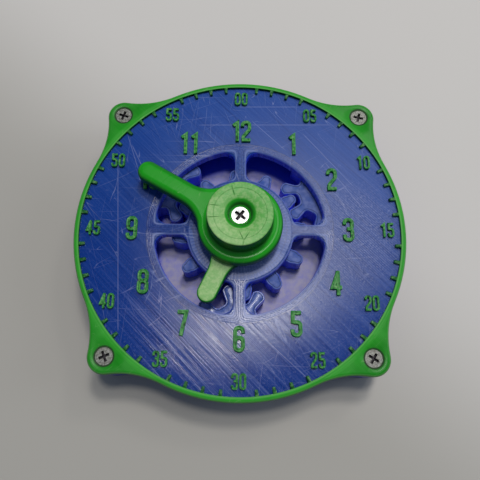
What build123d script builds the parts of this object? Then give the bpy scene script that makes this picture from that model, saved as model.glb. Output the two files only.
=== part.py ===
from build123d import *
from math import acos, atan2, cos, degrees, pi, radians, sin
import os

# Teaching clock with visible gears, lying on its back. Millimetres.
# The origin is the centre of the back, +Z points out of the dial and +Y to twelve.

# Case outline: a round body around the gears, with four corners whose screws lie outside it
corner_offset = 5.0
corner_radius = 7.5
corner_blend_radius = 40.0
corner_count = 4
first_corner_angle = 45.0
rim_edge_radius = 1.5
rim_width = 2.5
back_edge_chamfer = 0.8

# The layers from the back up, which add up to the depth of the case
housing_floor = 2.2
gear_gap = 0.7
lower_gear_thickness = 2.6
running_gap = 0.3
carrier_thickness = 2.2
upper_gear_thickness = 11.0
dial_thickness = 4.5
dial_recess = 1.5

# Housing and dial
housing_wall = 3.5
dial_tuck = 1.0
fit_clearance = 0.1
bearing_clearance = 0.08
window_width = 14.5
window_outer_corner = 5.0
window_inner_corner = 4.3
window_edge_radius = 1.1
spoke_width = 5.3

# Marks on the dial, all as high as the recess is deep, placed from the rim inwards
minute_count = 60
numbered_minutes = 5
hour_count = 12
tick_length = 2.5
tick_base_width = 1.5
tick_end_width = 0.9
hours_to_window = 9.9
hour_numeral_height = 11.0
hour_digit_width = 5.0
hour_digit_stroke = 1.6
hour_digit_gap = -0.2
minutes_to_hours = 17.4
rim_to_minutes = 6.2
minute_numeral_height = 6.7
minute_digit_width = 2.95
minute_digit_stroke = 0.95
minute_digit_gap = 0.45

# Gear train: the minute shaft turns the carrier, whose planets roll on the fixed gear.
# The heights of the teeth are given in modules.
center_distance = 44.0
gear_side_gap = 6.65
hour_teeth = 12
fixed_teeth = 11
planet_teeth = 8
planet_angles = {"a": 62.0, "b": 182.0, "c": 302.0}
wheel_addendum_ratio = 1.18
wheel_flank_ratio = 0.58
planet_addendum_ratio = 0.5
planet_flank_ratio = 0.11
root_gap_ratio = 0.2
root_round_ratio = 0.45
wheel_tooth_clearance = 0.15
planet_tooth_clearance = 0.45
gear_edge_chamfer = 0.3
flank_steps = 3

# Time shown at rest, as clock angles from twelve
hour_hand_angle = 205.0
minute_hand_angle = 300.0

# Carrier, shafts and bearings
carrier_margin = 7.0
spigot_radius = 8.0
boss_across_flats = 24.0
boss_step = 0.2
shaft_radius = 5.0
tang_width = 7.0
carrier_seat_wall = 0.8
knob_seat_wall = 2.65
hour_tube_radius = 9.0
hour_key_across_flats = 15.0
journal_radius = 7.0
key_across_flats = 8.0
key_length = 6.0

# Hands and knob
hour_hand_gap = 1.7
hour_hand_thickness = 4.4
hour_hand_length = 37.3
hour_hand_width = 8.6
hour_hand_edge_radius = 1.2
hour_hub_radius = 16.0
hand_gap = 0.7
hand_blend_radius = 15.0
minute_hand_length = 52.4
minute_hand_width = 9.6
minute_hand_edge_radius = 2.8
minute_hub_thickness = 5.2
hub_edge_radius = 2.4
hub_flat_width = 0.05
knob_radius = 13.9
knob_height = 10.8
knob_foot_radius = 2.3
knob_edge_radius = 0.7
knob_dish_radius = 7.0
knob_throat_radius = 5.4
knob_throat_depth = 0.9
knob_dish_floor_radius = 4.2
knob_dish_depth = 3.0

# Fasteners
screw_radius = 2.0
screw_hole_clearance = 0.2
thread_clearance = 0.05
screw_end_gap = 1.0
screw_head_radius = 4.0
corner_screw_sink = 0.35
corner_screw_end_gap = 0.65
center_screw_length = 16.0
center_head_radius = 3.65
center_head_rise = 0.35
screw_cross = (4.7, 1.15, 1.9)
knob_screw_cross = (5.0, 1.3, 1.9)
planet_cross = (3.2, 0.9, 1.2)
cross_taper = 6.0
corner_screw_turns = [-14.0, -32.0, 23.0, -18.0]
center_screw_turn = 53.0
nut_across_flats = 7.0
nut_thickness = 3.2
nut_recess = 0.3
planet_screw_radius = 1.5
planet_screw_length = 12.0
planet_head_radius = 2.8

# Heights worked out from the layers
lower_gear_bottom = housing_floor + gear_gap
lower_gear_top = lower_gear_bottom + lower_gear_thickness
carrier_bottom = lower_gear_top + running_gap
carrier_top = carrier_bottom + carrier_thickness
upper_gear_bottom = carrier_top + running_gap
upper_gear_top = upper_gear_bottom + upper_gear_thickness
dial_bottom = upper_gear_top + gear_gap
dial_top = dial_bottom + dial_thickness
rim_top = dial_top + dial_recess
hour_hand_bottom = dial_top + hour_hand_gap
hour_hand_top = hour_hand_bottom + hour_hand_thickness
minute_hub_bottom = hour_hand_top + hand_gap
minute_hub_top = minute_hub_bottom + minute_hub_thickness
knob_top = minute_hub_top + knob_height
knob_dish_floor = knob_top - knob_dish_depth
spigot_bottom = housing_floor + running_gap
boss_top = lower_gear_top - boss_step
screw_hole_radius = screw_radius + screw_hole_clearance
thread_hole_radius = screw_radius + thread_clearance
shaft_bottom = spigot_bottom + screw_head_radius + fit_clearance - screw_hole_radius + carrier_seat_wall
shaft_top = knob_dish_floor - (center_head_radius + fit_clearance - screw_hole_radius) - knob_seat_wall

# The gears, which set the radius of the case: the lower planet gears reach furthest
upper_module = 2 * center_distance / (hour_teeth + planet_teeth)
lower_module = 2 * center_distance / (fixed_teeth + planet_teeth)
gear_reach = center_distance + lower_module * (planet_teeth / 2 + planet_addendum_ratio)
carrier_radius = center_distance + journal_radius + carrier_margin
housing_inner_radius = gear_reach + gear_side_gap
body_radius = housing_inner_radius + housing_wall
corner_screw_radius = body_radius + corner_offset

# The hub of the minute hand: the knob, its foot, a flat ring and the round edge
minute_hub_radius = knob_radius + knob_foot_radius + hub_flat_width + hub_edge_radius

# The dial, from its edge inwards
dial_opening_radius = body_radius - rim_width
dial_radius = dial_opening_radius + dial_tuck
minute_numeral_radius = dial_opening_radius - rim_to_minutes
hour_numeral_radius = minute_numeral_radius - minutes_to_hours
window_outer_radius = hour_numeral_radius - hours_to_window
window_inner_radius = window_outer_radius - window_width

# Digits as pen strokes on a grid from -1 to 1: a bend share, closed or not, and the points
DIGITS = {
    "0": [(0.95, True, [(-1, 1), (1, 1), (1, -1), (-1, -1)])],
    "1": [(0, False, [(-0.75, 0.62), (0.4, 0.95), (0.4, -1.15)])],
    "2": [
        (0.9, False, [(-1, 0.5), (-1, 1), (1, 1), (1, 0.2), (-0.8, -0.62), (-0.8, -1)]),
        (0, False, [(-1.2, -1), (1.25, -1)]),
    ],
    "3": [
        (0.85, False, [(-1, 0.5), (-1, 1), (1, 1), (1, 0.07), (-0.4, 0.07)]),
        (0.85, False, [(-0.4, 0.07), (1, 0.07), (1, -1), (-1, -1), (-1, -0.5)]),
    ],
    "4": [
        (0, False, [(0.45, 1), (-1, -0.42), (1.4, -0.42)]),
        (0, False, [(0.45, -1.15), (0.45, 1.15)]),
    ],
    "5": [
        (0, False, [(1.2, 1), (-0.85, 1), (-0.85, 0.05)]),
        (0.85, False, [(-0.85, 0.15), (1, 0.15), (1, -1), (-1, -1), (-1, -0.5)]),
    ],
    "6": [
        (0.9, True, [(-1, 0.1), (1, 0.1), (1, -1), (-1, -1)]),
        (0.9, False, [(-1, -0.4), (-1, 1), (1, 1), (1, 0.5)]),
    ],
    "7": [(0, False, [(-1.2, 1), (1, 1), (-0.25, -1.15)])],
    "8": [
        (0.85, True, [(-0.95, 1), (0.95, 1), (0.95, 0.06), (-0.95, 0.06)]),
        (0.85, True, [(-1, 0.06), (1, 0.06), (1, -1), (-1, -1)]),
    ],
    "9": [
        (0.9, True, [(-1, 1), (1, 1), (1, -0.1), (-1, -0.1)]),
        (0.9, False, [(1, 0.4), (1, -1), (-1, -1), (-1, -0.5)]),
    ],
}


def on_clock(radius, clock_angle):
    """The point at a radius and an angle counted clockwise from twelve."""
    angle = radians(clock_angle)
    return radius * sin(angle), radius * cos(angle)


def draw_case_outline():
    """The round body and its corners, joined by hollow curves."""
    reach = body_radius + corner_blend_radius
    boss_reach = corner_radius + corner_blend_radius
    cosine = (reach**2 + corner_screw_radius**2 - boss_reach**2) / (2 * reach * corner_screw_radius)
    blend_angle = degrees(acos(cosine))
    x, y = reach * cosine, reach * sin(radians(blend_angle))
    boss_angle = degrees(atan2(y, x - corner_screw_radius))
    blend_size = boss_angle - blend_angle
    with BuildLine() as lobe:
        CenterArc((corner_screw_radius, 0), corner_radius, -boss_angle, 2 * boss_angle)
        CenterArc((x, y), corner_blend_radius, blend_angle + 180, blend_size)
        CenterArc((x, -y), corner_blend_radius, 180 - blend_angle, -blend_size)
        Polyline(
            (body_radius * cosine, body_radius * sin(radians(blend_angle))),
            (0, 0),
            (body_radius * cosine, -body_radius * sin(radians(blend_angle))),
        )
    corner = make_face(lobe.edges(), mode=Mode.PRIVATE)
    Circle(body_radius)
    with PolarLocations(0, corner_count, start_angle=first_corner_angle):
        add(corner)


def off_axis(corner):
    """How far a corner lies from the clock's axis."""
    return Vector(corner.X, corner.Y).length


def draw_digit(digit, x, y, width, height, stroke):
    """One digit, drawn with a flat pen."""
    half_width = (width - stroke) / 2
    half_height = (height - stroke) / 2
    for bend, closed, grid in DIGITS[digit]:
        points = [(x + u * half_width, y + v * half_height) for u, v in grid]
        with BuildLine() as pen:
            if bend:
                FilletPolyline(*points, radius=bend * half_width, close=closed)
            else:
                Polyline(*points)
        trace(pen.edges(), line_width=stroke)


def draw_number(text, center, width, height, stroke, gap):
    """An upright number centred on a point."""
    pitch = width + gap
    first = center[0] - pitch * (len(text) - 1) / 2
    for place, digit in enumerate(text):
        draw_digit(digit, first + place * pitch, center[1], width, height, stroke)


def rolled_flank(pitch_radius, rolling_radius, end_radius, half_tooth):
    """Points on one flank above the pitch circle: an epicycloid of the rolling circle."""
    reach = pitch_radius + rolling_radius
    last_roll = acos((reach**2 + rolling_radius**2 - end_radius**2) / (2 * rolling_radius * reach))
    points = []
    for step in range(flank_steps + 1):
        roll = last_roll * step / flank_steps
        turn = roll * rolling_radius / pitch_radius
        start = Vector(reach * cos(turn) - rolling_radius * cos(roll + turn),
                       reach * sin(turn) - rolling_radius * sin(roll + turn))
        points.append(Vector(start.X, -start.Y).rotate(Axis.Z, degrees(half_tooth)))
    return points


def draw_gear(teeth, mate_teeth, module, shape, start_angle):
    """A gear with rounded roots, rolled flanks and round tips; a tooth lies at the start angle."""
    addendum, flank_end, dedendum, clearance = shape
    pitch_radius = teeth * module / 2
    root_radius = pitch_radius - dedendum * module
    half_tooth = pi / (2 * teeth) - clearance / pitch_radius
    end_radius = pitch_radius + flank_end * module
    flank = rolled_flank(pitch_radius, mate_teeth * module / 4, end_radius, half_tooth)
    mirrored = [Vector(point.X, -point.Y) for point in flank]
    with BuildLine() as tooth_edge:
        Spline(*flank)
        ThreePointArc(flank[-1], (pitch_radius + addendum * module, 0), mirrored[-1])
        Spline(*mirrored)
        Polyline(flank[0], (0, 0), mirrored[0])
    tooth = make_face(tooth_edge.edges(), mode=Mode.PRIVATE)
    with BuildSketch(mode=Mode.PRIVATE) as gear:
        Circle(root_radius)
        with PolarLocations(0, teeth, start_angle=start_angle):
            add(tooth)
        flank_ends = gear.edges().filter_by(GeomType.LINE).vertices()
        fillet(flank_ends.group_by(lambda corner: corner.center().length)[0], root_round_ratio * module)
    add(gear.sketch)


def draw_hand(length, width, hub_radius):
    """A hand that points along Y, round at its tip and blended into its hub."""
    with BuildSketch(mode=Mode.PRIVATE) as hand:
        Circle(hub_radius)
        with Locations((0, (length - width / 2) / 2)):
            Rectangle(width, length - width / 2)
        with Locations((0, length - width / 2)):
            Circle(width / 2)
        fillet(hand.vertices().group_by(Axis.Y)[-2], hand_blend_radius)
    add(hand.sketch)


def hand_plane(height, clock_angle):
    """A level plane whose Y axis points where a hand points."""
    return Plane((0, 0, height), x_dir=(cos(radians(clock_angle)), -sin(radians(clock_angle)), 0))


def make_screw(length, radius, head_radius, rise, cross):
    """A screw with a 90 degree sunk head and a cross recess; the edge of its head lies at height 0."""
    span, width, depth = cross
    with BuildPart() as screw:
        with BuildSketch(Plane.XZ):
            with BuildLine():
                Polyline((0, rise), (0, -length), (radius, -length))
                Polyline((radius, -length), (radius, radius - head_radius), (head_radius, 0))
                if rise:
                    dome_radius = (head_radius**2 + rise**2) / (2 * rise)
                    RadiusArc((head_radius, 0), (0, rise), dome_radius)
                else:
                    Line((head_radius, 0), (0, 0))
            make_face()
        revolve(axis=Axis.Z)
        with BuildSketch(Plane.XY.offset(rise)):
            Rectangle(span, width)
            Rectangle(width, span)
        extrude(amount=-depth, taper=cross_taper, mode=Mode.SUBTRACT)
    return screw.part


def sunk_hole(radius, head_radius):
    """A screw hole that seats a 90 degree head."""
    CounterSinkHole(radius, head_radius + fit_clearance, counter_sink_angle=90)


def clock_to_polar(clock_angle):
    """The same direction counted anticlockwise from three."""
    return 90 - clock_angle


os.makedirs("parts", exist_ok=True)


def save(piece, name):
    """Label a finished piece and write its file."""
    piece.part.label = name
    export_step(piece.part, f"parts/{name}.step")


# Back housing: a tub with screw corners, nut pockets and a keyed boss
with BuildPart() as back_housing:
    with BuildSketch():
        draw_case_outline()
    extrude(amount=dial_bottom)
    chamfer(back_housing.faces().sort_by(Axis.Z)[0].outer_wire().edges(), back_edge_chamfer)
    with BuildSketch(Plane.XY.offset(housing_floor)):
        Circle(housing_inner_radius)
    extrude(amount=dial_bottom - housing_floor, mode=Mode.SUBTRACT)
    with BuildSketch(Plane.XY.offset(housing_floor)):
        RegularPolygon(boss_across_flats / 2, 6, major_radius=False)
        Circle(spigot_radius + bearing_clearance, mode=Mode.SUBTRACT)
    extrude(amount=boss_top - housing_floor)
    with BuildSketch():
        with PolarLocations(corner_screw_radius, corner_count, start_angle=first_corner_angle):
            Circle(screw_hole_radius)
    extrude(amount=dial_bottom, mode=Mode.SUBTRACT)
    with BuildSketch():
        with PolarLocations(corner_screw_radius, corner_count, start_angle=first_corner_angle):
            RegularPolygon(nut_across_flats / 2 + fit_clearance, 6, major_radius=False)
    extrude(amount=nut_recess + nut_thickness, mode=Mode.SUBTRACT)
save(back_housing, "back_housing")

# Rim frame: the green frame that holds the dial down on the housing
with BuildPart() as rim_frame:
    with BuildSketch(Plane.XY.offset(dial_bottom)):
        draw_case_outline()
    extrude(amount=rim_top - dial_bottom)
    fillet(rim_frame.faces().sort_by(Axis.Z)[-1].outer_wire().edges(), rim_edge_radius)
    with BuildSketch(Plane.XY.offset(dial_bottom)):
        Circle(dial_opening_radius)
    extrude(amount=rim_top - dial_bottom, mode=Mode.SUBTRACT)
    with BuildSketch(Plane.XY.offset(dial_bottom)):
        Circle(dial_radius + fit_clearance)
    extrude(amount=dial_thickness, mode=Mode.SUBTRACT)
    with Locations(Plane.XY.offset(rim_top)):
        with PolarLocations(corner_screw_radius, corner_count, start_angle=first_corner_angle):
            sunk_hole(screw_hole_radius, screw_head_radius + corner_screw_sink)
save(rim_frame, "rim_frame")

# Dial plate: a disc with four windows and the bearing of the hour tube
with BuildPart() as dial_plate:
    with BuildSketch(Plane.XY.offset(dial_bottom)):
        Circle(dial_radius)
    extrude(amount=dial_thickness)
    with BuildSketch(Plane.XY.offset(dial_bottom)) as windows:
        Circle(window_outer_radius)
        Circle(window_inner_radius, mode=Mode.SUBTRACT)
        Rectangle(2 * body_radius, spoke_width, mode=Mode.SUBTRACT)
        Rectangle(spoke_width, 2 * body_radius, mode=Mode.SUBTRACT)
        fillet(windows.vertices().group_by(off_axis)[0], window_inner_corner)
        fillet(windows.vertices().group_by(off_axis)[-1], window_outer_corner)
    extrude(amount=dial_thickness, mode=Mode.SUBTRACT)
    dial_face = dial_plate.faces().sort_by(Axis.Z)[-1]
    fillet(dial_face.edges() - dial_face.outer_wire().edges(), window_edge_radius)
    with Locations(Plane.XY.offset(dial_top)):
        Hole(hour_tube_radius + bearing_clearance)
save(dial_plate, "dial_plate")

# Minute ticks: bars at every minute that has no number, standing on the dial
with BuildPart() as minute_ticks:
    with BuildSketch(Plane.XY.offset(dial_top)):
        with BuildLine() as tick_edge:
            Polyline(
                (-tick_base_width / 2, dial_radius),
                (-tick_end_width / 2, dial_opening_radius - tick_length),
                (tick_end_width / 2, dial_opening_radius - tick_length),
                (tick_base_width / 2, dial_radius),
                close=True,
            )
        tick = make_face(tick_edge.edges(), mode=Mode.PRIVATE)
        for minute in range(minute_count):
            if minute % numbered_minutes:
                with Locations(Location((0, 0, 0), (0, 0, -360 / minute_count * minute))):
                    add(tick)
        Circle(dial_opening_radius, mode=Mode.INTERSECT)
    extrude(amount=dial_recess)
save(minute_ticks, "minute_ticks")

# Hour numerals: 1 to 12, upright, standing on the dial
with BuildPart() as hour_numerals:
    with BuildSketch(Plane.XY.offset(dial_top)):
        for hour in range(1, hour_count + 1):
            center = on_clock(hour_numeral_radius, 360 / hour_count * hour)
            draw_number(str(hour), center, hour_digit_width, hour_numeral_height,
                        hour_digit_stroke, hour_digit_gap)
    extrude(amount=dial_recess)
save(hour_numerals, "hour_numerals")

# Minute numerals: 00 to 55 in fives, upright, standing on the dial
with BuildPart() as minute_numerals:
    with BuildSketch(Plane.XY.offset(dial_top)):
        for minute in range(0, minute_count, numbered_minutes):
            center = on_clock(minute_numeral_radius, 360 / minute_count * minute)
            draw_number(f"{minute:02d}", center, minute_digit_width, minute_numeral_height,
                        minute_digit_stroke, minute_digit_gap)
    extrude(amount=dial_recess)
save(minute_numerals, "minute_numerals")

# Fixed gear: keyed onto the boss of the housing, it makes the planets roll
wheel_dedendum_ratio = planet_addendum_ratio + root_gap_ratio
planet_dedendum_ratio = wheel_addendum_ratio + root_gap_ratio
wheel_shape = (wheel_addendum_ratio, wheel_flank_ratio, wheel_dedendum_ratio, wheel_tooth_clearance)
planet_shape = (planet_addendum_ratio, planet_flank_ratio, planet_dedendum_ratio, planet_tooth_clearance)
first_planet_angle = planet_angles["a"]
fixed_tooth_angle = first_planet_angle - (first_planet_angle - hour_hand_angle) * hour_teeth / fixed_teeth
with BuildPart() as fixed_gear:
    with BuildSketch(Plane.XY.offset(housing_floor)):
        draw_gear(fixed_teeth, planet_teeth, lower_module, wheel_shape, clock_to_polar(fixed_tooth_angle))
        RegularPolygon(boss_across_flats / 2 + fit_clearance, 6, major_radius=False, mode=Mode.SUBTRACT)
    extrude(amount=lower_gear_top - housing_floor)
save(fixed_gear, "fixed_gear")

# Carrier disc: turns with the minute shaft and carries the planets
with BuildPart() as carrier_disc:
    with BuildSketch(Plane.XY.offset(carrier_bottom)):
        Circle(carrier_radius)
        with Locations(*[on_clock(center_distance, angle) for angle in planet_angles.values()]):
            Circle(journal_radius + bearing_clearance, mode=Mode.SUBTRACT)
    extrude(amount=carrier_thickness)
    with BuildSketch(Plane.XY.offset(spigot_bottom)):
        Circle(spigot_radius)
    extrude(amount=carrier_bottom - spigot_bottom)
    with BuildSketch(hand_plane(shaft_bottom, minute_hand_angle)):
        Rectangle(tang_width + 2 * fit_clearance, tang_width + 2 * fit_clearance)
    extrude(amount=carrier_top - shaft_bottom, mode=Mode.SUBTRACT)
    with Locations(Plane((0, 0, spigot_bottom), z_dir=(0, 0, -1))):
        sunk_hole(screw_hole_radius, screw_head_radius)
save(carrier_disc, "carrier_disc")

# Minute shaft: a round journal with a square tang at each end, drilled for screws
with BuildPart() as minute_shaft:
    with BuildSketch(Plane.XY.offset(carrier_top)):
        Circle(shaft_radius)
    extrude(amount=minute_hub_bottom - carrier_top)
    with BuildSketch(hand_plane(shaft_bottom, minute_hand_angle)):
        Rectangle(tang_width, tang_width)
    extrude(amount=carrier_top - shaft_bottom)
    with BuildSketch(hand_plane(minute_hub_bottom, minute_hand_angle)):
        Rectangle(tang_width, tang_width)
    extrude(amount=shaft_top - minute_hub_bottom)
    with Locations(Plane((0, 0, shaft_bottom), z_dir=(0, 0, -1))):
        Hole(thread_hole_radius, depth=center_screw_length - (shaft_bottom - spigot_bottom) + screw_end_gap)
    with Locations(Plane.XY.offset(shaft_top)):
        Hole(thread_hole_radius, depth=center_screw_length - (knob_dish_floor - shaft_top) + screw_end_gap)
save(minute_shaft, "minute_shaft")

# Minute hand: the hand, its hub and the knob that sets the time, in one piece
with BuildPart() as minute_hand:
    with BuildSketch(hand_plane(minute_hub_bottom, minute_hand_angle)):
        draw_hand(minute_hand_length, minute_hand_width, minute_hub_radius)
    extrude(amount=minute_hub_thickness)
    fillet(minute_hand.faces().sort_by(Axis.Z)[-1].edges(), minute_hand_edge_radius)
    with BuildSketch(Plane.XZ):
        with BuildLine():
            FilletPolyline(
                (0, minute_hub_bottom),
                (minute_hub_radius, minute_hub_bottom),
                (minute_hub_radius, minute_hub_top),
                (knob_radius, minute_hub_top),
                (knob_radius, knob_top),
                (knob_dish_radius, knob_top),
                (knob_throat_radius, knob_top - knob_throat_depth),
                (knob_dish_floor_radius, knob_dish_floor),
                (0, knob_dish_floor),
                radius=[0, hub_edge_radius, knob_foot_radius, knob_edge_radius, 0, 0, 0],
            )
            Line((0, knob_dish_floor), (0, minute_hub_bottom))
        make_face()
    revolve(axis=Axis.Z)
    with BuildSketch(hand_plane(minute_hub_bottom, minute_hand_angle)):
        Rectangle(tang_width + 2 * fit_clearance, tang_width + 2 * fit_clearance)
    extrude(amount=shaft_top + fit_clearance - minute_hub_bottom, mode=Mode.SUBTRACT)
    with Locations(Plane.XY.offset(knob_dish_floor)):
        sunk_hole(screw_hole_radius, center_head_radius)
save(minute_hand, "minute_hand")

# Hour gear: the wheel that the planets drive, with the tube that carries the hour hand
with BuildPart() as hour_gear:
    with BuildSketch(Plane.XY.offset(upper_gear_bottom)):
        draw_gear(hour_teeth, planet_teeth, upper_module, wheel_shape, clock_to_polar(hour_hand_angle))
    extrude(amount=upper_gear_thickness)
    chamfer(hour_gear.faces().sort_by(Axis.Z)[-1].edges(), gear_edge_chamfer)
    with BuildSketch(Plane.XY.offset(upper_gear_top)):
        Circle(hour_tube_radius)
    extrude(amount=hour_hand_bottom - upper_gear_top)
    with BuildSketch(hand_plane(hour_hand_bottom, hour_hand_angle)):
        RegularPolygon(hour_key_across_flats / 2, 6, major_radius=False)
    extrude(amount=hour_hand_thickness)
    with BuildSketch(Plane.XY.offset(upper_gear_bottom)):
        Circle(shaft_radius + bearing_clearance)
    extrude(amount=hour_hand_top - upper_gear_bottom, mode=Mode.SUBTRACT)
save(hour_gear, "hour_gear")

# Hour hand: keyed onto the end of the hour tube
with BuildPart() as hour_hand:
    with BuildSketch(hand_plane(hour_hand_bottom, hour_hand_angle)):
        draw_hand(hour_hand_length, hour_hand_width, hour_hub_radius)
    extrude(amount=hour_hand_thickness)
    fillet(hour_hand.faces().sort_by(Axis.Z)[-1].edges(), hour_hand_edge_radius)
    with BuildSketch(hand_plane(hour_hand_bottom, hour_hand_angle)):
        RegularPolygon(hour_key_across_flats / 2 + fit_clearance, 6, major_radius=False)
    extrude(amount=hour_hand_thickness, mode=Mode.SUBTRACT)
save(hour_hand, "hour_hand")


def planet_tooth_angle(planet_angle, wheel_tooth, wheel_teeth):
    """The clock angle of a planet tooth, when a gap of the planet holds the wheel's teeth."""
    gap_turn = (planet_angle - wheel_tooth) * wheel_teeth / planet_teeth
    return planet_angle + 180 + gap_turn + 180 / planet_teeth


def make_lower_gear(axis, tooth_angle):
    """The gear that rolls on the fixed gear, with its journal and key."""
    with BuildPart() as gear:
        with BuildSketch(Plane((*axis, lower_gear_bottom))):
            draw_gear(planet_teeth, fixed_teeth, lower_module, planet_shape, clock_to_polar(tooth_angle))
        extrude(amount=lower_gear_thickness)
        with BuildSketch(Plane((*axis, lower_gear_top))):
            Circle(journal_radius)
        extrude(amount=upper_gear_bottom - lower_gear_top)
        with BuildSketch(Plane((*axis, upper_gear_bottom))):
            RegularPolygon(key_across_flats / 2, 6, major_radius=False)
        extrude(amount=key_length)
        with Locations(Plane((*axis, upper_gear_bottom + key_length))):
            key_hole_depth = planet_screw_length - upper_gear_thickness + key_length + screw_end_gap
            Hole(planet_screw_radius + thread_clearance, depth=key_hole_depth)
    return gear


def make_upper_gear(axis, tooth_angle):
    """The gear that drives the hour gear, with a keyed hole and a sunk screw hole."""
    with BuildPart() as gear:
        with BuildSketch(Plane((*axis, upper_gear_bottom))):
            draw_gear(planet_teeth, hour_teeth, upper_module, planet_shape, clock_to_polar(tooth_angle))
        extrude(amount=upper_gear_thickness)
        chamfer(gear.faces().sort_by(Axis.Z)[-1].edges(), gear_edge_chamfer)
        with BuildSketch(Plane((*axis, upper_gear_bottom))):
            RegularPolygon(key_across_flats / 2 + fit_clearance, 6, major_radius=False)
        extrude(amount=key_length + fit_clearance, mode=Mode.SUBTRACT)
        with Locations(Plane((*axis, upper_gear_top))):
            sunk_hole(planet_screw_radius + screw_hole_clearance, planet_head_radius)
    return gear


# Planets: an upper and a lower gear, keyed together through the carrier by a screw
planet_screw = make_screw(planet_screw_length, planet_screw_radius, planet_head_radius, 0, planet_cross)
for letter, angle in planet_angles.items():
    axis = on_clock(center_distance, angle)
    lower_tooth = planet_tooth_angle(angle, fixed_tooth_angle, fixed_teeth)
    upper_tooth = planet_tooth_angle(angle, hour_hand_angle, hour_teeth)
    save(make_lower_gear(axis, lower_tooth), f"lower_planet_gear_{letter}")
    save(make_upper_gear(axis, upper_tooth), f"upper_planet_gear_{letter}")
    with BuildPart() as planet_screws:
        with Locations((*axis, upper_gear_top)):
            add(planet_screw)
    save(planet_screws, f"planet_screw_{letter}")

# Screw that holds the shaft in the carrier, put in from below
shaft_screw = make_screw(center_screw_length, screw_radius, screw_head_radius, 0, screw_cross)
with BuildPart() as carrier_screw:
    with Locations(Plane((0, 0, spigot_bottom), z_dir=(0, 0, -1))):
        add(shaft_screw)
save(carrier_screw, "carrier_screw")

# Screw in the dish of the knob, which holds the minute hand on the shaft
domed_screw = make_screw(
    center_screw_length, screw_radius, center_head_radius, center_head_rise, knob_screw_cross
)
with BuildPart() as knob_screw:
    with Locations(Location((0, 0, knob_dish_floor), (0, 0, center_screw_turn))):
        add(domed_screw)
save(knob_screw, "knob_screw")

# Corner screws, just below the rim's face, each at the angle where it came to rest
corner_screw_length = rim_top - corner_screw_sink - corner_screw_end_gap
corner_screw = make_screw(corner_screw_length, screw_radius, screw_head_radius, 0, screw_cross)
with BuildPart() as corner_screws:
    for corner, turn in enumerate(corner_screw_turns):
        x, y = on_clock(corner_screw_radius, first_corner_angle + corner * 360 / corner_count)
        with Locations(Location((x, y, rim_top - corner_screw_sink), (0, 0, turn))):
            add(corner_screw)
save(corner_screws, "corner_screws")

# Corner nuts, in the pockets of the housing
with BuildPart() as corner_nuts:
    with BuildSketch(Plane.XY.offset(nut_recess)):
        with PolarLocations(corner_screw_radius, corner_count, start_angle=first_corner_angle):
            RegularPolygon(nut_across_flats / 2, 6, major_radius=False)
            Circle(thread_hole_radius, mode=Mode.SUBTRACT)
    extrude(amount=nut_thickness)
save(corner_nuts, "corner_nuts")
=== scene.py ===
import math

import bmesh
import bpy
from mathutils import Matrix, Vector


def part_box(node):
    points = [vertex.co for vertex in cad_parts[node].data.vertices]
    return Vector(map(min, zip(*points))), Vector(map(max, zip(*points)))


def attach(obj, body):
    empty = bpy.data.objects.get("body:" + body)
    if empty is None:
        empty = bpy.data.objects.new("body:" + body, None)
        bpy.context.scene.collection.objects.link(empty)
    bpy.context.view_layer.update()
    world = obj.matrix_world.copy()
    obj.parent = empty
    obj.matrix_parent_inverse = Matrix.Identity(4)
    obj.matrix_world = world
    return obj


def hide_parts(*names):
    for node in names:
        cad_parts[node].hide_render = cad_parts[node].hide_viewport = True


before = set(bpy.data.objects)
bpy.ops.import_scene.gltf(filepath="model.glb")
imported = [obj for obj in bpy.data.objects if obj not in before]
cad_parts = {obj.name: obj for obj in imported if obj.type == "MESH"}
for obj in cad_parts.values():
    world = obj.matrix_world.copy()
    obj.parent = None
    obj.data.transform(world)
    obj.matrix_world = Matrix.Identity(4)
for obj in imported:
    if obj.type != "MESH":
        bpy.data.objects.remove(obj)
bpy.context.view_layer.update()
MM = 0.001

# Back housing
# A tub printed in blue plastic, standing on its floor: its wall shows the layers of the print as
# fine level lines, and its floor the straight lines of the first layer.


class Wire:
    """One value of a finish, which adds the Math nodes of the arithmetic that it takes part in."""

    def __init__(self, finish, socket):
        self.finish = finish
        self.socket = socket

    def __add__(self, other):
        return self.finish.math("ADD", self, other)

    def __sub__(self, other):
        return self.finish.math("SUBTRACT", self, other)

    def __rsub__(self, other):
        return self.finish.math("SUBTRACT", other, self)

    def __mul__(self, other):
        return self.finish.math("MULTIPLY", self, other)

    def __truediv__(self, other):
        return self.finish.math("DIVIDE", self, other)

    def __abs__(self):
        return self.finish.math("ABSOLUTE", self)

    __radd__ = __add__
    __rmul__ = __mul__


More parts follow.
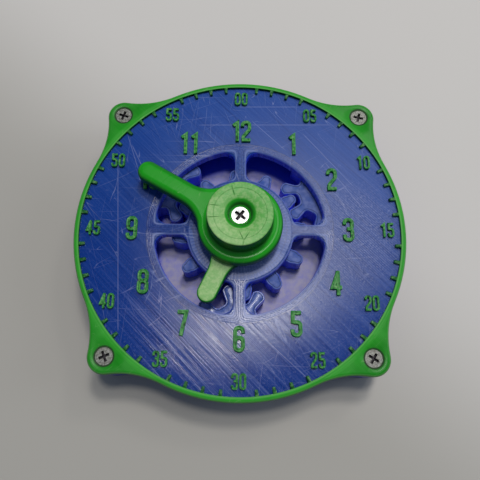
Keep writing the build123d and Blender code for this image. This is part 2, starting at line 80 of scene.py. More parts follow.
class Finish:
    """The node material of one piece, measured in millimetres on the piece's own coordinates."""

    def __init__(self, name):
        self.material = bpy.data.materials.new(name)
        self.material.use_nodes = True
        self.nodes = self.material.node_tree.nodes
        self.links = self.material.node_tree.links
        self.nodes.clear()

    def add(self, kind, settings=None, sockets=None, output=0):
        """Adds a node: its settings first, then the values or wires of its sockets."""
        node = self.nodes.new("ShaderNode" + kind)
        for name, value in (settings or {}).items():
            setattr(node, name, value)
        for name, value in (sockets or {}).items():
            if isinstance(value, Wire):
                self.links.new(value.socket, node.inputs[name])
            else:
                node.inputs[name].default_value = value
        return Wire(self, node.outputs[output]) if node.outputs else None

    def math(self, operation, *values, clamp=False):
        settings = {"operation": operation, "use_clamp": clamp}
        return self.add("Math", settings, dict(enumerate(values)))

    def split(self, vector):
        """The x, y and z of a vector."""
        node = self.add("SeparateXYZ", sockets={0: vector}).socket.node
        return [Wire(self, socket) for socket in node.outputs]

    def point(self):
        """Where a point of the piece lies, as x, y and z in millimetres."""
        place = self.add("TexCoord", output="Object")
        scaled = self.add("VectorMath", {"operation": "SCALE"}, {0: place, "Scale": 1 / MM})
        return self.split(scaled)

    def facing_up(self, low=0.8, high=0.97):
        """1 on level faces that look up, 0 on walls."""
        normal = self.add("NewGeometry", output="Normal")
        return self.clip(self.split(normal)[2], low, high)

    def clip(self, value, low, high):
        """0 below the low value, 1 above the high one, smooth between them."""
        return self.add("MapRange", {"interpolation_type": "SMOOTHSTEP"},
                        {"Value": value, "From Min": low, "From Max": high})

    def within(self, value, low, high, soft):
        """1 where a value lies between two others."""
        above = self.clip(value, low - soft, low + soft)
        return above * (1 - self.clip(value, high - soft, high + soft))

    def far(self, x, y, place):
        """How far a point lies from a place in the plan."""
        across, up = x - place[0], y - place[1]
        return self.math("SQRT", across * across + up * up)

    def noise(self, x, y, z, detail=0.0, roughness=0.5):
        """Smooth noise from 0 to 1, one lump to each unit."""
        spot = self.add("CombineXYZ", sockets={0: x, 1: y, 2: z})
        return self.add("TexNoise", sockets={"Vector": spot, "Scale": 1.0, "Detail": detail,
                                             "Roughness": roughness})

    def blend(self, share, first, second):
        """A colour between two colours, which are sockets 6 and 7 of a Mix node."""
        sockets = {0: share, 6: first, 7: second}
        return self.add("Mix", {"data_type": "RGBA"}, sockets, output=2)

    def close(self, color, roughness, height, **fixed):
        """Ends the finish in its shader; height is a relief in millimetres."""
        normal = self.add("Bump", sockets={"Height": height, "Distance": MM, "Strength": 1.0})
        shader = self.add("BsdfPrincipled", sockets={
            "Base Color": color, "Roughness": roughness, "Normal": normal, **fixed})
        self.add("OutputMaterial", sockets={0: shader})
        return self.material


LAYER = 0.2
LAYER_RELIEF = 0.018
BEAD = 0.62
CLOUD = 0.055


def beads(finish, across, pitch):
    """The rounded tops of plastic lines laid side by side, from 0 in the grooves to 1."""
    return abs(finish.math("SINE", across * (math.pi / pitch)))


def line_tones(finish, across, along, pitch, seed):
    """A tone for each laid line, which drifts along the line."""
    line = finish.math("FLOOR", across / pitch)
    return finish.noise(line * 0.731, along * 0.045, seed, detail=1.0) - 0.5


def turned(x, y, angle):
    """The coordinates along and across a direction, in degrees from +X."""
    c, s = math.cos(math.radians(angle)), math.sin(math.radians(angle))
    return x * c + y * s, y * c - x * s


def laid_lines(finish, x, y, angle, seed, pitch=BEAD):
    """The tone and the rounded tops of the straight lines that fill a level face."""
    along, across = turned(x, y, angle)
    return line_tones(finish, across, along, pitch, seed), beads(finish, across, pitch)


BLUE = {"fill": (0.002, 0.034, 0.235, 1), "pale": (0.011, 0.077, 0.36, 1),
        "wall": (0.003, 0.018, 0.29, 1), "mark": (0.34, 0.39, 0.70, 1),
        "dark": (0.002, 0.008, 0.07, 1)}


def printed(name, tones, face, roughness=0.36, gloss=0.31):
    """Printed plastic: layer lines on its walls, and on its level faces what face(...) gives."""
    finish = Finish(name)
    x, y, z = finish.point()
    up = finish.facing_up()
    cloud = finish.noise(x * CLOUD, y * CLOUD, z * CLOUD, detail=3.0)
    layer = finish.math("FLOOR", z / LAYER)
    layer_tone = finish.noise(layer * 0.61, x * 0.02, y * 0.02, detail=1.0)
    look = {"mark": 0.0, "dark": 0.0, **face(finish, x, y, z)}
    tone = look["tone"] * up + (layer_tone - 0.5) * 0.8 * (1 - up) + (cloud - 0.5) * 0.5
    height = look["height"] * up + beads(finish, z, LAYER) * LAYER_RELIEF * (1 - up)
    share = finish.math("ADD", tone * 0.5, 0.42, clamp=True)
    shade = finish.blend(share, tones["fill"], tones["pale"])
    # Faces that don't look up take the wall colour, which paints how light falls on the sides:
    # darker on the green pieces as painted shade, a stronger blue on the blue pieces.
    shade = finish.blend(finish.facing_up(0.3, 0.9), tones["wall"], shade)
    shade = finish.blend(look["dark"], shade, tones["dark"])
    shade = finish.blend(look["mark"], shade, tones["mark"])
    rough = finish.math("ADD", tone * 0.12 + look["mark"] * 0.10, roughness, clamp=True)
    return finish.close(shade, rough, height, **{"Specular IOR Level": gloss})


def give(nodes, material):
    """Puts a finish on CAD pieces."""
    for node in nodes:
        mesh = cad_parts[node].data
        mesh.materials.clear()
        mesh.materials.append(material)


def straight_lines(finish, x, y, z):
    """The diagonal lines that fill a level face."""
    tone, tops = laid_lines(finish, x, y, -45, 3.1)
    return {"tone": tone * 1.1, "height": tops * 0.018}


give(["back_housing"], printed("housing_blue", BLUE, straight_lines))

# Carrier disc and lower gears
# The same blue print, seen through the windows below the gears: the lines of its top layer catch
# the light, and grey dust from the running gears lies on it. The pale dust is partly a painted
# sheen of the lamps, paler towards the viewer, and it ends short of the dial's edges, where a
# strong blue fill stands in for the blue light in the shade under the dial.
DUST_AND_SHEEN_REACH = 40.0
DUST_AND_SHEEN_CENTER = (0.0, -2.5)
# Its walls are a strong blue, a painted light that stands in for light shining through the plastic
# into the shaded windows.
DEEP_BLUE = {**BLUE, "wall": (0.04, 0.09, 0.92, 1)}
DUST_AND_SHEEN_BLUE = {**DEEP_BLUE, "fill": (0.015, 0.04, 0.65, 1), "pale": (0.03, 0.07, 0.70, 1),
              "mark": (0.52, 0.48, 0.45, 1)}
LOWER_GEARS = [f"lower_planet_gear_{letter}" for letter in "abc"]


def carrier_lines(finish, x, y, z):
    """Lines laid across the disc, under dust and painted sheen that end where the dial shades the
    disc.
    """
    tone, tops = laid_lines(finish, x, y, 45, 8.4)
    dust_and_sheen = finish.noise(x * 0.35, y * 0.35, 3.7, detail=4.0, roughness=0.7)
    dust_and_sheen = 0.50 + finish.clip(dust_and_sheen, 0.30, 0.70) * 0.26
    # The pale stops short of the dial's edges, so that the strip in the dial's shade keeps its
    # strong blue fill: painted shade and light.
    reach = finish.far(x, y, DUST_AND_SHEEN_CENTER)
    exposed = 1 - finish.clip(reach, DUST_AND_SHEEN_REACH - 3, DUST_AND_SHEEN_REACH + 1)
    # Paler towards the viewer: painted light.
    painted_near_light = finish.clip(0 - y, -20, 20)
    return {"tone": tone * 0.9, "height": tops * 0.014,
            "mark": dust_and_sheen * exposed * (0.80 + 0.20 * painted_near_light)}


give(["carrier_disc", "fixed_gear"] + LOWER_GEARS,
     printed("carrier_blue", DUST_AND_SHEEN_BLUE, carrier_lines, roughness=0.42))

# Hour gear and upper planet gears
# Blue prints whose teeth show in the windows. A line runs round each top, a little in from its
# edge, where the outer loop of the print meets the fill, and the edges are worn pale.
OUTLINE_INSET = 0.45
OUTLINE_WIDTH = 0.11
OUTLINE_DEPTH = 0.05
SHARP_ANGLE = math.radians(30)
LEVEL = 0.99999
MAIN, DETAIL = 0, 1


def copy_of(node, name, body, materials):
    """A copy of a CAD piece whose faces are joined up, opened as a bmesh for its details."""
    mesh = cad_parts[node].data.copy()
    mesh.name = name
    piece = bpy.data.objects.new(name, mesh)
    bpy.context.scene.collection.objects.link(piece)
    mesh.materials.clear()
    for material in materials:
        mesh.materials.append(material)
    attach(piece, body)
    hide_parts(node)
    shape = bmesh.new()
    shape.from_mesh(mesh)
    bmesh.ops.remove_doubles(shape, verts=shape.verts, dist=0.002 * MM)
    for face in shape.faces:
        face.material_index = MAIN
    return piece, shape


def close_copy(piece, shape):
    """Writes the shape into its piece: smooth curves, flat level faces and crisp edges."""
    for face in shape.faces:
        face.smooth = abs(face.normal.z) < LEVEL
    shape.to_mesh(piece.data)
    shape.free()
    piece.data.set_sharp_from_angle(angle=SHARP_ANGLE)


def top_faces(shape, height):
    """The level faces at one height."""
    return [face for face in shape.faces if face.normal.z > 0.99
            and abs(face.calc_center_median().z - height * MM) < 0.02 * MM]


def draw_outline(shape, faces):
    """A groove round a level top, which gets the detail's material."""
    bmesh.ops.inset_region(shape, faces=faces, thickness=OUTLINE_INSET * MM,
                           use_even_offset=True)
    for depth in (-OUTLINE_DEPTH, OUTLINE_DEPTH):
        ring = bmesh.ops.inset_region(shape, faces=faces, thickness=OUTLINE_WIDTH * MM,
                                      depth=depth * MM, use_even_offset=True)
        for face in ring["faces"]:
            face.material_index = DETAIL


def gear_lines(finish, x, y, z):
    """Lines laid across the top, and a pale worn shine on the teeth."""
    tone, tops = laid_lines(finish, x, y, -45, 5.5)
    worn = finish.noise(x * 0.35, y * 0.35, 1.2, detail=3.0, roughness=0.6)
    return {"tone": tone * 1.2 + 0.25, "height": tops * 0.014,
            "mark": finish.clip(worn, 0.35, 0.72) * 0.30 + 0.08}


GROOVE_TONES = {**BLUE, "fill": BLUE["dark"], "pale": BLUE["dark"]}
GEAR_BLUE = printed("gear_blue", DEEP_BLUE, gear_lines, roughness=0.42)
SHINY_BLUE = printed("shiny_gear_blue", DEEP_BLUE, gear_lines, roughness=0.20, gloss=0.7)
GROOVE_BLUE = printed("groove_blue", GROOVE_TONES, straight_lines, roughness=0.6)
GEAR_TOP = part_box("upper_planet_gear_a")[1].z / MM
GEARS = {"hour_gear": "hour", "upper_planet_gear_a": "planet_a",
         "upper_planet_gear_b": "planet_b", "upper_planet_gear_c": "planet_c"}
SHINY_GEAR = "upper_planet_gear_b"
for node, body in GEARS.items():
    top = SHINY_BLUE if node == SHINY_GEAR else GEAR_BLUE
    piece, shape = copy_of(node, "outlined_" + node, body, [top, GROOVE_BLUE])
    draw_outline(shape, top_faces(shape, GEAR_TOP))
    close_copy(piece, shape)

# Dial plate
# The face of the clock, printed in blue: diagonal lines fill it, three lines run round each
# window, whose edge is rounded and worn pale, and the bearing has a ring of short spokes.
# Painted sheen makes it paler where the lamps reflect, and a painted falloff of light darkens it
# towards the lower left.
WINDOW_OUTER, WINDOW_INNER, HALF_SPOKE = 39.0, 24.5, 2.65
WINDOW_CORNER = 4.0
EDGE_BAND, LINED_BAND = 0.75, 3.3
LOOP = 0.72
BEARING = 23.1
SPOKES = 92
HATCH_PITCH = 0.88
HATCH_AND_SHEEN_CENTRE = (47.0, -4.0)
STREAKS_AND_SHEEN_CENTRE = (-20.0, -40.0)
SCRATCH_ANGLES = ((83, 1.3), (-47, 7.7), (24, 11.9), (112, 17.3))
TRAVEL_MARKS = [((-54.0, 46.3), (-48.4, 30.2)), ((-51.5, 41.0), (-46.0, 30.0)),
                ((-1.5, 62.5), (27.2, 62.8)), ((5.8, 54.4), (21.0, 39.7)),
                ((-19.8, 52.5), (42.9, 53.2)), ((-57.7, 31.1), (-51.8, -45.5)),
                ((-28.3, -15.4), (-7.4, -41.7)), ((-39.7, -19.2), (-26.7, -32.4)),
                ((30.0, 48.0), (52.0, 22.0)), ((40.0, 33.0), (55.0, 12.0)),
                ((-21.0, -45.3), (-5.0, -60.0)), ((8.0, -46.0), (30.0, -66.0))]


def scratches(finish, x, y, angle, spacing, length, width, seed):
    """Thin, long and nearly straight marks along one direction."""
    along, across = turned(x, y, angle)
    field = finish.noise(along / length, across / spacing, seed, detail=1.0, roughness=0.35)
    line = 1 - finish.clip(abs(field - 0.5), 0.0, width)
    broken = finish.noise(along / length * 2.3, across / spacing * 1.7, seed + 9.4)
    return line * finish.clip(broken, 0.55, 0.75)


def stroke(finish, x, y, start, end, width):
    """One straight thin mark between two places."""
    angle = math.degrees(math.atan2(end[1] - start[1], end[0] - start[0]))
    along, across = turned(x - start[0], y - start[1], angle)
    line = 1 - finish.clip(abs(across), 0.0, width)
    return line * finish.within(along, 0, math.dist(start, end), 1.5)


def dial_lines(finish, x, y, z):
    """The fill, the lined bands and worn edges of the windows, the bearing, scratches and painted
    sheen.
    """
    radius = finish.far(x, y, (0, 0))
    off_spokes = finish.math("MINIMUM", abs(x), abs(y))
    ring = finish.math("MAXIMUM", radius - WINDOW_OUTER, WINDOW_INNER - radius)
    outside = finish.math("SMOOTH_MAX", ring, HALF_SPOKE - off_spokes, WINDOW_CORNER)
    edge = finish.within(outside, 0.10, EDGE_BAND, 0.25)
    border = finish.within(outside, LINED_BAND - 0.1, LINED_BAND + 0.35, 0.15)
    lined = 1 - finish.clip(outside, LINED_BAND - 0.2, LINED_BAND + 0.2)
    lined = lined * finish.clip(radius, BEARING - 0.1, BEARING + 0.9)
    bearing = 1 - finish.clip(radius, BEARING - 0.3, BEARING + 0.3)
    fill = (1 - lined) * (1 - bearing)

    # Where the lamps reflect, specks, lines, edges, bands and the bearing are painted paler: lit,
    # lower and shiny mark painted sheen and highlights, the hatch and streak zones painted glints,
    # and the falloff is a painted light that darkens the face towards the lower left.
    lit = finish.clip(x * 0.8 - y, -30, 60)
    lower = finish.clip(0 - y, 10, 45)
    shiny = finish.clip(x * 0.34 - y * 0.94, 28, 42)
    painted_light_falloff = finish.clip(x * 0.5 + y * 0.85, -60, 60) - 0.5
    hatch_and_sheen = 1 - finish.clip(finish.far(x, y, HATCH_AND_SHEEN_CENTRE), 14, 34)
    streaks_and_sheen = 1 - finish.clip(finish.far(x, y, STREAKS_AND_SHEEN_CENTRE), 14, 36)

    along, across = turned(x, y, -45)
    grain = finish.noise(x * 1.1, y * 1.1, 4.1, detail=2.0, roughness=0.7)
    speck = finish.clip(grain, 0.54, 0.70)
    dull = 1 - finish.clip(grain, 0.36, 0.50)
    hatch = finish.clip(beads(finish, across, HATCH_PITCH), 0.45, 0.95)
    hatch = hatch * finish.clip(grain, 0.35, 0.55)
    coarse = line_tones(finish, across, along, 1.7, 2.6)
    thin = finish.noise(across * 1.9, along * 0.03, 7.7, detail=1.5, roughness=0.6)
    bright = finish.clip(thin, 0.53, 0.68)
    deep = 1 - finish.clip(thin, 0.30, 0.46)
    loops = beads(finish, outside - EDGE_BAND, LOOP)
    gaps = 1 - finish.clip(loops, 0.10, 0.45)
    spokes = beads(finish, finish.math("ARCTAN2", y, x), 2 * math.pi / SPOKES)

    marks = scratches(finish, x, y, 0, 3.4, 60, 0.010, 4.2)
    for angle, seed in SCRATCH_ANGLES:
        more = scratches(finish, x, y, angle, 3.8, 48, 0.009, seed)
        marks = finish.math("MAXIMUM", marks, more)
    for start, end in TRAVEL_MARKS:
        marks = finish.math("MAXIMUM", marks, stroke(finish, x, y, start, end, 0.26))

    tone = (fill * (coarse * 0.6 + (thin - 0.5) * 1.1 + painted_light_falloff * 1.3 - 0.1)
            + lined * (loops * 0.4 + grain * 1.6 + painted_light_falloff - 1.5)
            + bearing * (spokes * 0.9 + grain - 0.5) + edge * 1.2)
    height = (fill * (hatch * hatch_and_sheen * 0.03 + beads(finish, across, BEAD) * 0.010
                      + thin * (0.04 + streaks_and_sheen * 0.03))
              + lined * loops * 0.018 + bearing * spokes * 0.03 + grain * 0.03)
    mark = (marks * 0.29 + speck * fill * (0.03 + lit * 0.08)
            + edge * (0.22 + lower * 0.22 + shiny * 0.42)
            + lined * (loops * (0.02 + lit * 0.03 + shiny * 0.18) + shiny * 0.12)
            + lined * speck * (0.06 + lit * 0.10 + shiny * 0.40)
            + bearing * (spokes * 0.10 + speck * (0.12 + lit * 0.28) + lit * 0.34)
            + bright * fill * (0.02 + lit * 0.05 + streaks_and_sheen * 0.09)
            + hatch * hatch_and_sheen * 0.25 + speck * fill * streaks_and_sheen * 0.03)
    dark = (deep * fill * (0.22 + streaks_and_sheen * 0.20) + border * 0.40
            + hatch_and_sheen * (1 - hatch) * fill * 0.18
            + lined * (1 - edge) * (dull * 0.32 + gaps * 0.34))
    return {"tone": tone, "height": height, "dark": dark,
            "mark": finish.math("MINIMUM", mark, 0.85)}


DIAL_TONES = {**DEEP_BLUE, "mark": (0.44, 0.48, 0.74, 1)}
DIAL_BLUE = printed("dial_blue", DIAL_TONES, dial_lines, roughness=0.26, gloss=0.32)
piece, shape = copy_of("dial_plate", "dial_face", "case", [DIAL_BLUE])
close_copy(piece, shape)

# Rim frame
# Printed in green round the dial: loops follow its inner edge and short diagonal lines fill its
# corners, painted darker for their duller reflection. The lip and rounded edges carry a painted
# highlight, and a dark ring of painted shade lies round each screw.
# The green wall colour is darker than the fill: painted shade on the sides.
GREEN = {"fill": (0.006, 0.25, 0.006, 1), "pale": (0.036, 0.39, 0.025, 1),
         "wall": (0.002, 0.14, 0.002, 1), "mark": (0.34, 0.57, 0.24, 1),
         "dark": (0.002, 0.04, 0.004, 1)}
RIM_LAP = 1.0
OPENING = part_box("dial_plate")[1].x / MM - RIM_LAP
LOOPS_REACH = 75.0
RIM_LOOP = 0.9
HEAD_RADIUS = 4.0
screws_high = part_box("corner_screws")[1] / MM
SCREW_X, SCREW_Y = screws_high.x - HEAD_RADIUS, screws_high.y - HEAD_RADIUS


def from_screw(finish, x, y):
    """How far a point lies from the axis of the nearest corner screw."""
    return finish.far(abs(x), abs(y), (SCREW_X, SCREW_Y))


def rim_lines(finish, x, y, z):
    """Loops along the opening, diagonal lines in the corners, painted highlights and painted
    shade.
    """
    radius = finish.far(x, y, (0, 0))
    screw = from_screw(finish, x, y)
    tone, tops = laid_lines(finish, x, y, -45, 6.6)
    loops = beads(finish, radius, RIM_LOOP)
    inner = 1 - finish.clip(radius, LOOPS_REACH - 0.6, LOOPS_REACH + 0.6)
    facet = finish.clip(finish.noise(x * 0.09, y * 0.09, 6.0, detail=1.0), 0.4, 0.6)
    painted_edge_highlight = finish.facing_up(0.15, 0.5) * (1 - finish.facing_up(0.80, 0.98))
    # The lip and the rounded edges are painted paler: painted highlights.
    lip = finish.within(radius, OPENING + 0.1, OPENING + 0.55, 0.15)
    # The fill of the corners is painted darker for its duller reflection, and the ring round each
    # screw head is painted shade.
    corner = finish.clip(radius, 76, 79) * (1 - finish.clip(screw, 9, 14))
    painted_ring_shade = finish.within(screw, HEAD_RADIUS - 0.3, HEAD_RADIUS + 0.5, 0.12)
    marks = scratches(finish, x, y, 40, 2.4, 12, 0.012, 2.9)
    return {"tone": tone * 0.9 * (1 - inner) + inner * (0.5 + loops * 0.4) + facet * 0.5 - 0.35,
            "height": tops * 0.02 * (1 - inner) + loops * 0.03 * inner,
            "mark": marks * 0.3 + lip * 0.22 + painted_edge_highlight * 0.16,
            "dark": painted_ring_shade * 0.85 + corner * 0.14}


RIM_GREEN = printed("rim_green", GREEN, rim_lines)
piece, shape = copy_of("rim_frame", "rim", "case", [RIM_GREEN])
close_copy(piece, shape)

# Ticks and numerals
# Green prints pressed into the face. Each stroke is two laid lines with a darker seam between
# them, and the ticks are darker, because little light reaches them beside the rim.
STROKE_BEAD = 0.5
SEAM_DEPTH = 0.1
TICK_SOFTNESS = 0.2
TICK_SWELL = 0.25


def mark_lines(finish, x, y, z):
    """Narrow laid lines, with pale and dark patches of wear."""
    tone, tops = laid_lines(finish, x, y, 45, 9.1, pitch=STROKE_BEAD)
    worn = finish.noise(x * 0.8, y * 0.8, 2.2, detail=3.0, roughness=0.6)
    return {"tone": tone * 1.2, "height": tops * 0.02,
            "mark": finish.clip(worn, 0.48, 0.72) * 0.42,
            "dark": 1 - finish.clip(worn, 0.30, 0.50)}


NUMBER_TONES = {**GREEN, "fill": (0.018, 0.27, 0.029, 1), "pale": (0.075, 0.38, 0.075, 1),
                "wall": (0.008, 0.18, 0.025, 1)}
SEAM_TONES = {**GREEN, "fill": (0.010, 0.155, 0.018, 1), "pale": (0.025, 0.25, 0.033, 1)}
TICK_TONES = {**GREEN, "fill": (0.005, 0.105, 0.016, 1), "pale": (0.016, 0.18, 0.025, 1)}
NUMBER_GREEN = printed("number_green", NUMBER_TONES, mark_lines)
SEAM_GREEN = printed("seam_green", SEAM_TONES, mark_lines)
TICK_GREEN = printed("tick_green", TICK_TONES, mark_lines)


def worn_marks(node, materials, softness):
    """A copy of raised marks whose top edges are worn down, and its top faces."""
    piece, shape = copy_of(node, "worn_" + node, "case", materials)
    faces = top_faces(shape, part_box(node)[1].z / MM)
    for vertex in {vertex for face in faces for vertex in face.verts}:
        vertex.co.z -= softness * MM
    bmesh.ops.inset_region(shape, faces=faces, thickness=softness * MM, depth=softness * MM,
                           use_even_offset=True)
    return piece, shape, faces


for node, softness, seam_inset in (("hour_numerals", 0.22, 0.30),
                                   ("minute_numerals", 0.16, 0.18)):
    piece, shape, faces = worn_marks(node, [NUMBER_GREEN, SEAM_GREEN], softness)
    bmesh.ops.inset_region(shape, faces=faces, thickness=seam_inset * MM,
                           depth=-SEAM_DEPTH * MM, use_even_offset=True)
    for face in faces:
        face.material_index = DETAIL
    close_copy(piece, shape)

piece, shape, faces = worn_marks("minute_ticks", [TICK_GREEN], TICK_SOFTNESS)
shape.normal_update()
for vertex in shape.verts:
    vertex.co += Vector((vertex.normal.x, vertex.normal.y, 0)) * TICK_SWELL * MM
close_copy(piece, shape)

# Hour hand and minute hand
# Green prints. The minute hand carries the knob, whose top is dished for its screw: lines run
# round its edge, and the fill inside them has split along a few seams. The tops of the knob and
# hour hand are paler with wear and a painted sheen, and painted shade darkens the dish and the far
# slope of the minute hand.
KNOB_TOP = 47.3
KNOB_RING = 11.05
DISH_RADIUS = 7.6
DISH_LOW = 43.0
HOUR_TOP = 30.6
MINUTE_DIRECTION = 150
KNOB_SEAMS = [((-13.6, -1.9), (-8.6, -1.7)), ((-13.0, 3.6), (-8.8, 3.1)),
              ((-0.3, -7.8), (1.5, -11.8)), ((1.5, -11.8), (3.6, -8.4)),
              ((1.5, -11.8), (1.2, -13.4)), ((-3.6, 11.8), (-2.4, 7.6))]


def hand_lines(finish, x, y, z):
    """Laid lines, the flaked tops of knob and hour hand with painted sheen, the seams and painted
    shade.
    """
    radius = finish.far(x, y, (0, 0))
    tone, tops = laid_lines(finish, x, y, 45, 4.4)
    knob = finish.clip(z, KNOB_TOP - 0.5, KNOB_TOP - 0.1)
    # The dish is painted darker: painted shade.
    shaded_dish = finish.within(z, DISH_LOW, KNOB_TOP - 0.4, 0.1)
    shaded_dish = shaded_dish * (1 - finish.clip(radius, DISH_RADIUS - 0.2, DISH_RADIUS + 0.2))
    hour = finish.within(z, HOUR_TOP - 0.2, HOUR_TOP + 0.3, 0.1)
    across_minute = turned(x, y, MINUTE_DIRECTION)[1]
    # A band along the far side of the minute hand is painted darker: painted shade.
    slope = finish.within(across_minute, -4.9, -2.7, 0.5) * finish.clip(radius, 19, 24)
    slope = slope * finish.within(z, 32, 37, 0.3)
    seams = finish.within(radius, KNOB_RING - 0.15, KNOB_RING + 0.15, 0.15)
    seams = (seams + finish.within(radius, DISH_RADIUS - 0.4, DISH_RADIUS - 0.2, 0.15) * 0.5) * 0.5
    for start, end in KNOB_SEAMS:
        seams = finish.math("MAXIMUM", seams, stroke(finish, x, y, start, end, 0.30))
    flakes = finish.noise(x * 0.45, y * 0.45, 5.1, detail=4.0, roughness=0.7)
    flakes = finish.clip(flakes, 0.42, 0.62)
    # The tops of the knob and hour hand are painted paler, partly wear flakes and partly painted
    # sheen, more so towards the lower left.
    toward_lower_left = finish.clip(0 - x - y, -8, 16)
    pale_knob = knob * (0.22 + flakes * 0.32 + toward_lower_left * 0.30) * (1 - seams * 0.8)
    marks = scratches(finish, x, y, 70, 2.4, 14, 0.012, 8.3)
    return {"tone": tone * 0.7 + knob * (0.5 + flakes * 0.6) + hour * (0.6 + flakes * 0.5) - 0.5,
            "height": tops * 0.012 - knob * seams * 0.10,
            "mark": pale_knob + hour * (0.52 + flakes * 0.34) + marks * 0.3,
            "dark": knob * seams * 0.70 + shaded_dish * 0.15 + slope * 0.35}


# Its wall colour is darker still: painted shade on the sides of the hands and the knob.
HAND_TONES = {**GREEN, "fill": (0.006, 0.35, 0.006, 1), "wall": (0.002, 0.09, 0.002, 1),
              "mark": (0.45, 0.65, 0.28, 1)}
HAND_GREEN = printed("hand_green", HAND_TONES, hand_lines, roughness=0.35)
for node, body in (("hour_hand", "hour"), ("minute_hand", "minute")):
    piece, shape = copy_of(node, "smooth_" + node, body, [HAND_GREEN])
    close_copy(piece, shape)

# Screws, nuts and shaft
# Zinc-plated steel. The corner screws are dull and mottled, the one in the knob is bright, and
# the cross recess of each is painted black as shade.
CROSS_REACH = 2.8
RECESS_DEPTH = 2.2
KNOB_SCREW_CROWN = 0.1


def zinc(name, color, dull, roughness, spots):
    """Plated steel, mottled with dark spots, and with painted shade round its edge where spots are
    given.
    """
    finish = Finish(name)
    x, y, z = finish.point()
    cloud = finish.noise(x * 0.9, y * 0.9, z * 0.9, detail=4.0)
    marks = scratches(finish, x, y, 35, 0.9, 5, 0.05, 3.3)
    spotted = finish.noise(x * 1.6, y * 1.6, 8.8, detail=3.0, roughness=0.7)
    spotted = finish.clip(spotted, 0.42, 0.62)
    shade = finish.blend(finish.clip(cloud, 0.3, 0.7), dull, color)
    shade = finish.blend(spotted * spots, shade, (0.10, 0.09, 0.08, 1))
    if spots:
        # A ring of painted shade round the edge of each corner screw's head.
        screw = from_screw(finish, x, y)
        painted_ring_shade = finish.clip(screw, HEAD_RADIUS - 0.45, HEAD_RADIUS - 0.1)
        shade = finish.blend(painted_ring_shade, shade, GREEN["dark"])
    rough = finish.math("ADD", cloud * 0.25 + marks * 0.1, roughness - 0.12)
    return finish.close(shade, rough, cloud * 0.03 - marks * 0.02, Metallic=0.85)


def paint_recess_shade():
    """Black painted shade, put into the recesses."""
    finish = Finish("painted_recess_shade")
    x, y, z = finish.point()
    cloud = finish.noise(x * 1.5, y * 1.5, z * 1.5, detail=3.0)
    shade = finish.blend(cloud, (0.010, 0.008, 0.010, 1), (0.07, 0.06, 0.07, 1))
    return finish.close(shade, cloud * 0.3 + 0.45, cloud * 0.05)


DULL_ZINC = zinc("dull_zinc", (0.43, 0.43, 0.39, 1), (0.26, 0.26, 0.22, 1), 0.50, 0.7)
BRIGHT_ZINC = zinc("bright_zinc", (0.86, 0.85, 0.84, 1), (0.70, 0.69, 0.68, 1), 0.42, 0.0)
RECESS_SHADE = paint_recess_shade()


def screws_with_shaded_recesses(node, body, plating, places, head_top):
    """Screws whose cross recesses, near the axis and below the top of the head, are painted black
    as shade.
    """
    piece, shape = copy_of(node, "driven_" + node, body, [plating, RECESS_SHADE])
    for face in shape.faces:
        middle = face.calc_center_median() / MM
        depth = head_top - middle.z
        near = min(math.dist((middle.x, middle.y), place) for place in places) < CROSS_REACH
        wall = 0.06 < depth < RECESS_DEPTH and abs(face.normal.z) < 0.995
        bottom = 1.0 < depth < RECESS_DEPTH and face.normal.z > 0.9
        if near and (wall or bottom):
            face.material_index = DETAIL
    close_copy(piece, shape)


CORNERS = [(a * SCREW_X, b * SCREW_Y) for a in (1, -1) for b in (1, -1)]
screws_with_shaded_recesses("corner_screws", "case", DULL_ZINC, CORNERS, screws_high.z)
knob_screw_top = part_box("knob_screw")[1].z / MM - KNOB_SCREW_CROWN
screws_with_shaded_recesses("knob_screw", "minute", BRIGHT_ZINC, [(0, 0)], knob_screw_top)
PLANET_SCREWS = [f"planet_screw_{letter}" for letter in "abc"]
give(PLANET_SCREWS + ["carrier_screw", "corner_nuts", "minute_shaft"], DULL_ZINC)

# Floor
# A plain pale table top, wide enough to fill every view, with a painted falloff of light: a
# little darker towards the viewer and the left.
FLOOR_SIZE = 6.0
FAR_PAPER, NEAR_PAPER = (0.70, 0.665, 0.62, 1), (0.46, 0.436, 0.39, 1)
floor_mesh = bpy.data.meshes.new("floor")
floor_shape = bmesh.new()
bmesh.ops.create_grid(floor_shape, x_segments=1, y_segments=1, size=FLOOR_SIZE / 2)
floor_shape.to_mesh(floor_mesh)
floor_shape.free()
floor = bpy.data.objects.new("floor", floor_mesh)
bpy.context.scene.collection.objects.link(floor)
paper = Finish("floor_paper")
across_floor, up_floor = paper.point()[:2]
near_viewer = paper.clip(-0.6 * across_floor - 0.8 * up_floor, -60, 50)
paper_shader = paper.add("BsdfPrincipled", sockets={
    "Base Color": paper.blend(near_viewer, FAR_PAPER, NEAR_PAPER), "Roughness": 0.8})
paper.add("OutputMaterial", sockets={0: paper_shader})
floor_mesh.materials.append(paper.material)

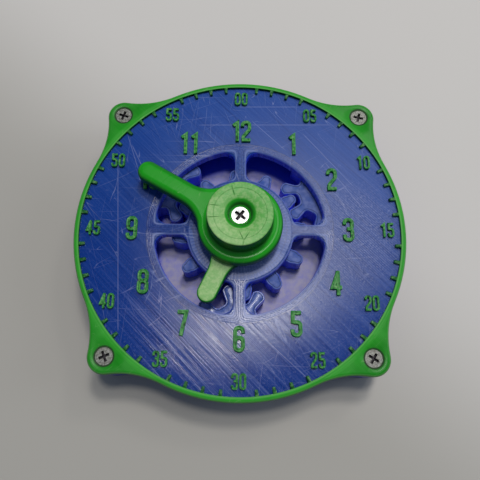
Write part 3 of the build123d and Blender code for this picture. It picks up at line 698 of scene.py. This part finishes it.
# Lights
# Soft lamps about two metres up: a small one whose reflection lies low on the dial, a wide one for
# the sheen at its right, two from the far side for the shadows, and a low, weak one at the right.
WARM, PALE_WARM, NEUTRAL = (1.0, 0.97, 0.93), (1.0, 0.97, 0.94), (0.98, 0.98, 0.98)
COOL, SKY = (0.86, 0.93, 1.0), (0.60, 0.76, 1.0, 1)
SKY_STRENGTH = 0.20


def softbox(name, place, size, power, color, reflected=True):
    """A soft oval lamp that looks at the clock."""
    lamp = bpy.data.lights.new(name, "AREA")
    lamp.shape, lamp.energy, lamp.color = "ELLIPSE", power, color
    lamp.size, lamp.size_y = size
    stand = bpy.data.objects.new(name, lamp)
    stand.location = place
    stand.rotation_euler = (-Vector(place)).to_track_quat("-Z", "Y").to_euler()
    stand.visible_glossy = reflected
    bpy.context.scene.collection.objects.link(stand)


softbox("overhead_lamp", (0.06, 0.38, 2.02), (0.20, 0.30), 9.4, WARM)
softbox("sheen_lamp", (0.39, 0.72, 2.02), (0.75, 0.90), 5.2, NEUTRAL)
softbox("shadow_lamp", (0.30, 0.80, 1.90), (0.30, 0.30), 10.0, PALE_WARM, reflected=False)
softbox("key_lamp", (0.95, 1.15, 1.55), (0.35, 0.35), 2.6, PALE_WARM)
softbox("side_lamp", (1.50, 0.20, 0.90), (0.70, 0.70), 3.0, COOL)

world = bpy.data.worlds.new("surrounding")
world.use_nodes = True
background = world.node_tree.nodes["Background"]
background.inputs["Color"].default_value = SKY
background.inputs["Strength"].default_value = SKY_STRENGTH
bpy.context.scene.world = world
bpy.context.scene.view_settings.view_transform = "Standard"

# Camera
# Held above the clock and a little towards six, at the angle of the photo.
FOCAL_LENGTH, SENSOR_WIDTH = 37.21, 36.0
CAMERA_PLACE = (-0.00008, -0.06685, 0.23907)
CAMERA_TURN = (16.077, -0.168, 0.495)
lens = bpy.data.cameras.new("camera")
lens.sensor_width, lens.lens = SENSOR_WIDTH, FOCAL_LENGTH
camera = bpy.data.objects.new("camera", lens)
camera.location = CAMERA_PLACE
camera.rotation_euler = [math.radians(angle) for angle in CAMERA_TURN]
bpy.context.scene.collection.objects.link(camera)
bpy.context.scene.camera = camera
